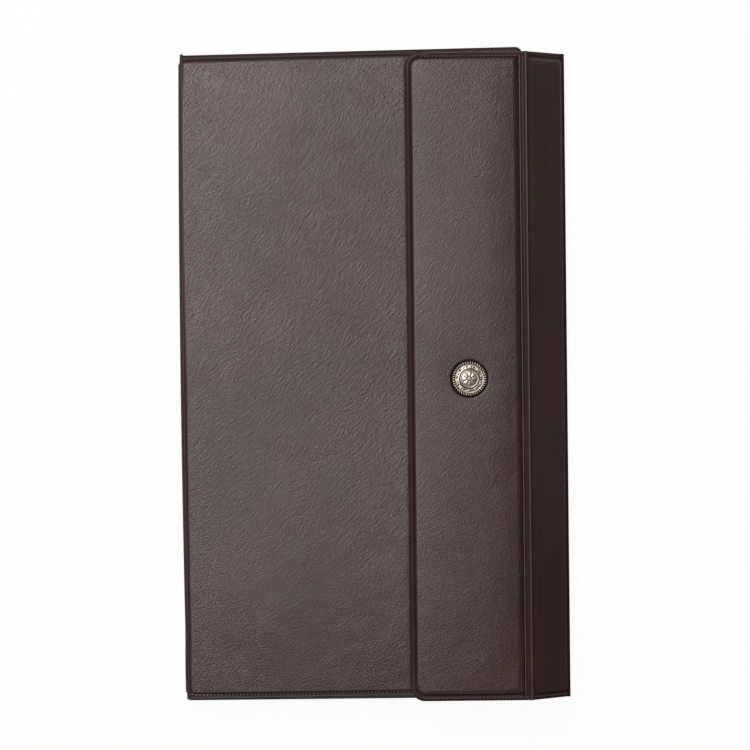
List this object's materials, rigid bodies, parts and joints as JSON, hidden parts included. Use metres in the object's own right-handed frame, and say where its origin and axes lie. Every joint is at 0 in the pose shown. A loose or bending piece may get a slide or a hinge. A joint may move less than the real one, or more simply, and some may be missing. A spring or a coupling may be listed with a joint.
{
  "type": "checkbook cover",
  "caption": "Padded leatherette checkbook cover: welded back, spine, front, gusset and flap, closed over the front by a press snap.",
  "frame": {"origin": "middle of the closed cover's footprint, on the surface that its back lies on", "axes": "+X from the spine to the gusset, +Y up the long side, +Z out of the front cover and flap"},
  "size_m": [0.134, 0.2224, 0.0165],
  "materials": {
    "leatherette": "satin",
    "lining": "matte",
    "board": "matte",
    "foam": "matte",
    "snap": "satin",
    "spring_wire": "satin"
  },
  "bodies": {
    "back_cover": {"back_skin": "leatherette", "back_board": "board", "back_lining": "lining", "back_pocket": "lining", "back_spine_fold": "leatherette", "back_gusset_fold": "leatherette"},
    "spine": {"spine_skin": "leatherette", "spine_board": "board", "spine_lining": "lining"},
    "front_cover": {"front_skin": "leatherette", "front_foam": "foam", "front_board": "board", "front_lining": "lining", "front_pocket": "lining", "front_spine_fold": "leatherette", "snap_stud": "snap", "snap_eyelet": "snap"},
    "gusset": {"gusset_skin": "leatherette", "gusset_board": "board", "gusset_lining": "lining"},
    "flap": {"flap_skin": "leatherette", "flap_foam": "foam", "flap_board": "board", "flap_lining": "lining", "flap_gusset_fold": "leatherette", "snap_cap": "snap", "snap_rivet": "snap", "snap_socket": "snap", "snap_spring": "spring_wire"}
  },
  "joints": [
    {"name": "spine_fold", "type": "hinge", "parent": "back_cover", "child": "spine", "pos_m": [-0.0659, 0, 0.0018], "axis": [0, -1, 0], "range_deg": [0, 77]},
    {"name": "front_fold", "type": "hinge", "parent": "spine", "child": "front_cover", "pos_m": [-0.0659, 0, 0.008], "axis": [0, -1, 0], "range_deg": [0, 103]},
    {"name": "gusset_fold", "type": "hinge", "parent": "back_cover", "child": "gusset", "pos_m": [0.0664, 0, 0.0018], "axis": [0, 1, 0], "range_deg": [0, 134]},
    {"name": "flap_fold", "type": "hinge", "parent": "gusset", "child": "flap", "pos_m": [0.0529, 0, 0.01265], "axis": [0, 1, 0], "range_deg": [0, 46]}
  ]
}
